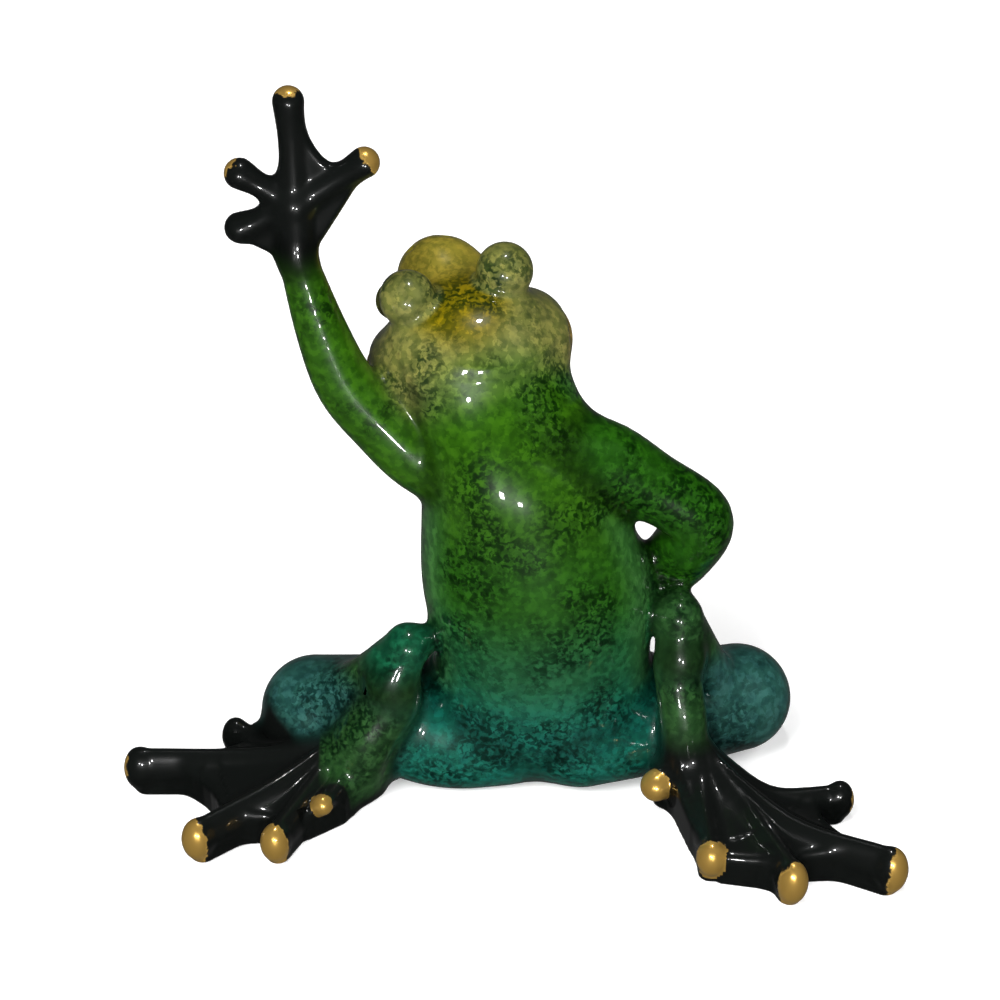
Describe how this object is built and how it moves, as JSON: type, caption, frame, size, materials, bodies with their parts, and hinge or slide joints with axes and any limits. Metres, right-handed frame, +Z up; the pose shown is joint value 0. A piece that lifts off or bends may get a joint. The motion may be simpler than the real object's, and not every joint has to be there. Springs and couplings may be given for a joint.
{
  "type": "frog figurine",
  "caption": "Sitting resin frog ornament with an arm raised to wave, a hand on its hip, folded legs, splayed webbed feet, a flat seat and gilded digit ends.",
  "frame": {"origin": "a point near the middle of the flat seat, on the surface the frog sits on", "axes": "+Z up, +Y the way the frog faces, +X towards its right hand"},
  "size_m": [0.1389, 0.0764, 0.1312],
  "materials": {
    "green_glaze": "mottled green glaze on cast resin, high gloss",
    "yellow_glaze": "mottled yellow-olive glaze on cast resin, high gloss",
    "teal_glaze": "mottled teal glaze on cast resin, high gloss",
    "black_glaze": "black glaze on cast resin, high gloss",
    "gilding": "gold paint on cast resin, metallic",
    "eye_bead": "polished",
    "pin_steel": "bright drawn"
  },
  "bodies": {
    "root": {"torso": "green_glaze", "head": "yellow_glaze", "left_eye": "eye_bead", "right_eye": "eye_bead", "left_arm": "green_glaze", "left_hand": "black_glaze", "left_finger_tips": "gilding", "right_arm": "green_glaze", "right_hand": "black_glaze", "right_finger_tips": "gilding", "left_leg": "teal_glaze", "left_foot": "black_glaze", "left_toe_tips": "gilding", "right_leg": "teal_glaze", "right_foot": "black_glaze", "right_toe_tips": "gilding", "neck_pin": "pin_steel", "left_shoulder_pin": "pin_steel", "right_shoulder_pin": "pin_steel", "left_wrist_pin": "pin_steel", "right_wrist_pin": "pin_steel", "left_hip_pin": "pin_steel", "right_hip_pin": "pin_steel", "left_heel_pin": "pin_steel", "right_heel_pin": "pin_steel"}
  },
  "joints": []
}
